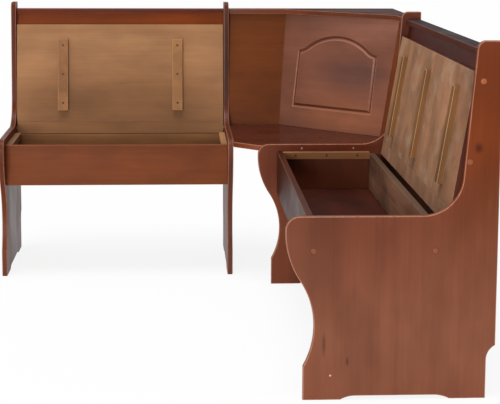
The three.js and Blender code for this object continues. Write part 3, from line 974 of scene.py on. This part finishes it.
# Painted sheen: the diagonal back is paler along the top and the foot and greyer in the middle, standing for
# its lacquer's reflections.
paintedSheen = [
    ((0.580, 0.600, 0.866), 0.12, 0.36, 1.0, (1.60, 1.75, 2.00)),
    ((0.520, 0.620, 0.668), 0.09, 0.24, 1.0, (0.60, 0.66, 0.82)),
    ((0.480, 0.640, 0.515), 0.09, 0.27, 1.0, (1.42, 1.34, 1.10)),
]
carvedBack("corner_back_diagonal", diagonalAcross, diagonalOut, "diagonal", "sheen", 1, paintedSheen)
# Painted shade: the long back is darker along its top, under the cap rail.
topShade = [(benchPoint("right", 0.305, 0.03, 0.90), 0.20, 1.6, 1.0, (0.62, 0.17, 0.05))]
for bench, grain, archCount, spots in (("left", "x", 1, ()), ("right", "y", 2, topShade)):
    place = benches[bench]
    carvedBack(bench + "_back_panel", place["along"], place["faceOut"], grain, "orange", archCount, spots)
print("backs carved")

# Screws and plugs: one Geometry Nodes tree places a head on each point, turned to the point's normal.

fastenings = {
    "screw": {"radius": 0.0042, "height": 0.0007, "crossLength": 0.0050, "crossWidth": 0.0011, "sunk": 0.0016},
    "plug": {"radius": 0.0082, "height": 0.0008, "backSeed": 77, "apronSeed": 78},
}
dome = {"Segments": 24, "Rings": 12, "Radius": 1.0}


def headTree(name, withCross):
    tree = bpy.data.node_groups.new(name, "GeometryNodeTree")
    inputs = (
        ("Places", "Geometry"),
        ("Radius", "Float"),
        ("Height", "Float"),
        ("Cross length", "Float"),
        ("Cross width", "Float"),
        ("Material", "Material"),
    )
    for label, kind in inputs:
        tree.interface.new_socket(label, in_out="INPUT", socket_type="NodeSocket" + kind)
    tree.interface.new_socket("Heads", in_out="OUTPUT", socket_type="NodeSocketGeometry")
    given = tree.nodes.new("NodeGroupInput")
    result = tree.nodes.new("NodeGroupOutput")

    # The head is a dome of a low sphere, and its middle lies on the surface.
    ball = addNode(tree, "GeometryNodeMeshUVSphere", dome)
    flat = addNode(
        tree, "ShaderNodeCombineXYZ", None,
        {0: given.outputs["Radius"], 1: given.outputs["Radius"], 2: given.outputs["Height"]},
    )
    lens = addNode(
        tree, "GeometryNodeTransform", None,
        {"Geometry": ball.outputs["Mesh"], "Scale": flat.outputs[0]},
    )
    where = addNode(tree, "GeometryNodeInputPosition")
    flatPlace = addNode(
        tree, "ShaderNodeVectorMath", {1: (1, 1, 0)}, {0: where.outputs[0]}, operation="MULTIPLY"
    )
    fromAxis = addNode(tree, "ShaderNodeVectorMath", None, {0: flatPlace.outputs[0]}, operation="LENGTH")
    rim = addNode(
        tree, "ShaderNodeMath", None,
        {0: fromAxis.outputs["Value"], 1: given.outputs["Radius"]}, operation="DIVIDE",
    )
    marked = addNode(
        tree, "GeometryNodeStoreNamedAttribute", {"Name": "rim"},
        {"Geometry": lens.outputs[0], "Value": rim.outputs[0]}, data_type="FLOAT", domain="POINT",
    )
    head = marked.outputs[0]
    if withCross:
        bars = []
        for first, second in (("Cross length", "Cross width"), ("Cross width", "Cross length")):
            size = addNode(
                tree, "ShaderNodeCombineXYZ", None,
                {0: given.outputs[first], 1: given.outputs[second], 2: given.outputs["Height"]},
            )
            bar = addNode(tree, "GeometryNodeMeshCube", None, {"Size": size.outputs[0]})
            lift = addNode(tree, "ShaderNodeCombineXYZ", None, {2: given.outputs["Height"]})
            bars.append(
                addNode(
                    tree, "GeometryNodeTransform", None,
                    {"Geometry": bar.outputs["Mesh"], "Translation": lift.outputs[0]},
                )
            )
        cut = addNode(tree, "GeometryNodeMeshBoolean", operation="DIFFERENCE", solver="EXACT")
        tree.links.new(head, cut.inputs["Mesh 1"])
        for bar in bars:
            tree.links.new(bar.outputs[0], cut.inputs["Mesh 2"])
        head = cut.outputs["Mesh"]

    normal = addNode(tree, "GeometryNodeInputNamedAttribute", {"Name": "facing"}, data_type="FLOAT_VECTOR")
    turned = addNode(
        tree, "FunctionNodeAlignRotationToVector", None, {"Vector": normal.outputs["Attribute"]}, axis="Z"
    )
    placed = addNode(
        tree, "GeometryNodeInstanceOnPoints", None,
        {"Points": given.outputs["Places"], "Instance": head, "Rotation": turned.outputs[0]},
    )
    real = addNode(tree, "GeometryNodeRealizeInstances", None, {"Geometry": placed.outputs[0]})
    painted = addNode(
        tree, "GeometryNodeSetMaterial", None,
        {"Geometry": real.outputs[0], "Material": given.outputs["Material"]},
    )
    tree.links.new(painted.outputs[0], result.inputs["Heads"])
    return tree


# One piece holds all the heads at these places.
def fastenHeads(name, tree, places, sizes, material, body):
    mesh = bpy.data.meshes.new(name)
    mesh.from_pydata([tuple(point) for point, _ in places], [], [])
    facing = mesh.attributes.new("facing", "FLOAT_VECTOR", "POINT")
    for item, (_, direction) in zip(facing.data, places):
        item.vector = direction
    piece = bpy.data.objects.new(name, mesh)
    bpy.context.scene.collection.objects.link(piece)
    modifier = piece.modifiers.new("Heads", "NODES")
    modifier.node_group = tree
    sockets = {item.name: item.identifier for item in tree.interface.items_tree if item.in_out == "INPUT"}
    for label, value in {**sizes, "Material": material}.items():
        modifier[sockets[label]] = value
    graph = bpy.context.evaluated_depsgraph_get()
    baked = bpy.data.meshes.new_from_object(piece.evaluated_get(graph))
    piece.modifiers.clear()
    piece.data = baked
    smoothMesh(baked, sharpAngles["head"])
    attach(piece, body)


seatScrews = {"depths": [0.387, 0.216], "height": 0.457}
plugCounts = {"outer": 4, "inner": 2}  # the inner panels have only the two of the apron


def seatScrewPlaces(bench):
    face, into = binFace(bench, bench + "_inner_side")
    return [(benchPoint(bench, face, depth, seatScrews["height"]), into) for depth in seatScrews["depths"]]


def plugPlaces(bench):
    places = []
    for end, count in plugCounts.items():
        side = bench + "_" + end + "_side"
        inner, into = binFace(bench, side)
        low, high = span(side, benches[bench]["along"])
        face = low + high - inner
        for depth, height in sidePanels["plugPlaces"][:count]:
            places.append((benchPoint(bench, face, depth, height), -into))
    return places


# Sunk screws sit at the bottom of their countersinks.
def sunk(places):
    return [(point - direction * fastenings["screw"]["sunk"], direction) for point, direction in places]


screwTree = headTree("Screw heads", True)
plugTree = headTree("Wooden plugs", False)
screwSizes = {
    "Radius": fastenings["screw"]["radius"],
    "Height": fastenings["screw"]["height"],
    "Cross length": fastenings["screw"]["crossLength"],
    "Cross width": fastenings["screw"]["crossWidth"],
}
plugSizes = {"Radius": fastenings["plug"]["radius"], "Height": fastenings["plug"]["height"]}
screwSteel = metalMaterial("screwSteel", "screw")
flushSteel = metalMaterial("flushScrewSteel", "flushScrew")
plugWood = woodMaterial("plugWood", "plug", "z", fastenings["plug"]["backSeed"])
lowerPlugWood = woodMaterial("lowerPlugWood", "plug", "z", fastenings["plug"]["apronSeed"])
cleatSunk = []
for bench in benches:
    for end in ("outer", "inner"):
        cleatSunk += sunk(cleatPlaces(bench, bench + "_" + end + "_cleat"))
    lidSunk = []
    for number in range(lidBoards[bench]["battens"]):
        lidSunk += sunk(battenPlaces(bench, bench + "_lid_batten_" + str(number + 1)))
    fastenHeads(bench + "LidScrews", screwTree, lidSunk, screwSizes, screwSteel, bench + "_lid")
fastenHeads("cleatScrews", screwTree, cleatSunk, screwSizes, screwSteel, "frame")
seatPlaces = seatScrewPlaces("left") + seatScrewPlaces("right")
fastenHeads("seatScrews", screwTree, seatPlaces, screwSizes, flushSteel, "frame")
sidePlugs = plugPlaces("left") + plugPlaces("right")
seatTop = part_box("corner_seat")[1].z
backPlugs = [place for place in sidePlugs if place[0].z > seatTop]
apronPlugs = [place for place in sidePlugs if place[0].z < seatTop]
fastenHeads("backPlugs", plugTree, backPlugs, plugSizes, plugWood, "frame")
fastenHeads("apronPlugs", plugTree, apronPlugs, plugSizes, lowerPlugWood, "frame")
print("screws and plugs placed")

# Floor, light and camera

room = {
    "size": 60.0,
    "floorShade": 0.88,
    "worldStrength": 0.36,  # as a light; as a background it is 1
    "seenShare": 0.88,  # of plain white in the floor that the camera sees, the rest being lit floor
}


# One for the rays that show the background: the camera's, and those off gloss or through glass.
def backgroundRays(tree):
    path = addNode(tree, "ShaderNodeLightPath")
    seen = sums(tree, "MAXIMUM", path.outputs["Is Camera Ray"], path.outputs["Is Glossy Ray"])
    return sums(tree, "MAXIMUM", seen, path.outputs["Is Transmission Ray"])


def makeFloor():
    mesh = bpy.data.meshes.new("floor")
    half = room["size"] / 2
    corners = [(-half, -half, 0), (half, -half, 0), (half, half, 0), (-half, half, 0)]
    mesh.from_pydata(corners, [], [(0, 1, 2, 3)])
    floor = bpy.data.objects.new("floor", mesh)
    bpy.context.scene.collection.objects.link(floor)
    material, tree, shader = newMaterial("paleFloor")
    tree.nodes.remove(shader)
    shade = addNode(tree, "ShaderNodeBsdfDiffuse", {"Color": (room["floorShade"],) * 3 + (1,)})
    white = addNode(tree, "ShaderNodeEmission", {"Color": (1, 1, 1, 1), "Strength": 1.0})
    seen = sums(tree, "MULTIPLY", backgroundRays(tree), room["seenShare"])
    both = addNode(tree, "ShaderNodeMixShader", None, {0: seen, 1: shade.outputs[0], 2: white.outputs[0]})
    tree.links.new(both.outputs[0], tree.nodes["Material Output"].inputs["Surface"])
    mesh.materials.append(material)


def makeWorld():
    world = bpy.data.worlds.new("studio")
    bpy.context.scene.world = world
    world.use_nodes = True
    tree = world.node_tree
    strength = spread(tree, backgroundRays(tree), 0, 1, room["worldStrength"], 1.0)
    background = tree.nodes["Background"]
    background.inputs["Color"].default_value = (1, 1, 1, 1)
    tree.links.new(strength, background.inputs["Strength"])


# The size is in metres for the area lamp and in radians for the sun.
lamps = {
    "key": {"kind": "AREA", "place": (-2.3, -8.5, 0.8), "aim": (0.0, 0.0, 0.5), "size": 2.4, "power": 520},
    "overhead": {"kind": "SUN", "place": (-0.8, -1.0, 6.0), "aim": (0.0, 0.0, 0.0), "size": 0.6, "power": 2.2},
}


def makeLamps():
    for name, lamp in lamps.items():
        data = bpy.data.lights.new(name, lamp["kind"])
        if lamp["kind"] == "AREA":
            data.size = lamp["size"]
        else:
            data.angle = lamp["size"]
        data.energy = lamp["power"]
        light = bpy.data.objects.new(name, data)
        light.location = lamp["place"]
        aim = Vector(lamp["aim"]) - light.location
        light.rotation_euler = aim.to_track_quat("-Z", "Y").to_euler()
        bpy.context.scene.collection.objects.link(light)


# The camera that took the photograph, in pixels, degrees and metres. Its axis meets the picture at the centre.
photograph = {
    "width": 500,
    "height": 404,
    "focal": 1472.286,
    "centreX": 250,
    "centreY": 142,
    "yaw": -2.947,
    "roll": 0.231,
    "pitch": 8.361,
    "place": (-0.108618, -4.493556, 1.184625),
    "sensor": 36,
}


def makeCamera():
    yaw, pitch, roll = (math.radians(photograph[turn]) for turn in ("yaw", "pitch", "roll"))
    forward = Vector((-math.sin(yaw) * math.cos(pitch), math.cos(yaw) * math.cos(pitch), -math.sin(pitch)))
    level = Vector((math.cos(yaw), math.sin(yaw), 0))
    upright = level.cross(forward)
    right = level * math.cos(roll) + upright * math.sin(roll)
    above = upright * math.cos(roll) - level * math.sin(roll)
    data = bpy.data.cameras.new("camera")
    data.sensor_width = photograph["sensor"]
    data.lens = data.sensor_width * photograph["focal"] / photograph["width"]
    data.shift_x = (photograph["width"] / 2 - photograph["centreX"]) / photograph["width"]
    data.shift_y = (photograph["centreY"] - photograph["height"] / 2) / photograph["width"]
    camera = bpy.data.objects.new("camera", data)
    turn = Matrix((right, above, -forward)).transposed()
    camera.matrix_world = Matrix.Translation(photograph["place"]) @ turn.to_4x4()
    bpy.context.scene.collection.objects.link(camera)
    bpy.context.scene.camera = camera


makeFloor()
makeWorld()
makeLamps()
makeCamera()
bpy.context.scene.view_settings.view_transform = "Standard"
print("floor, light and camera set")
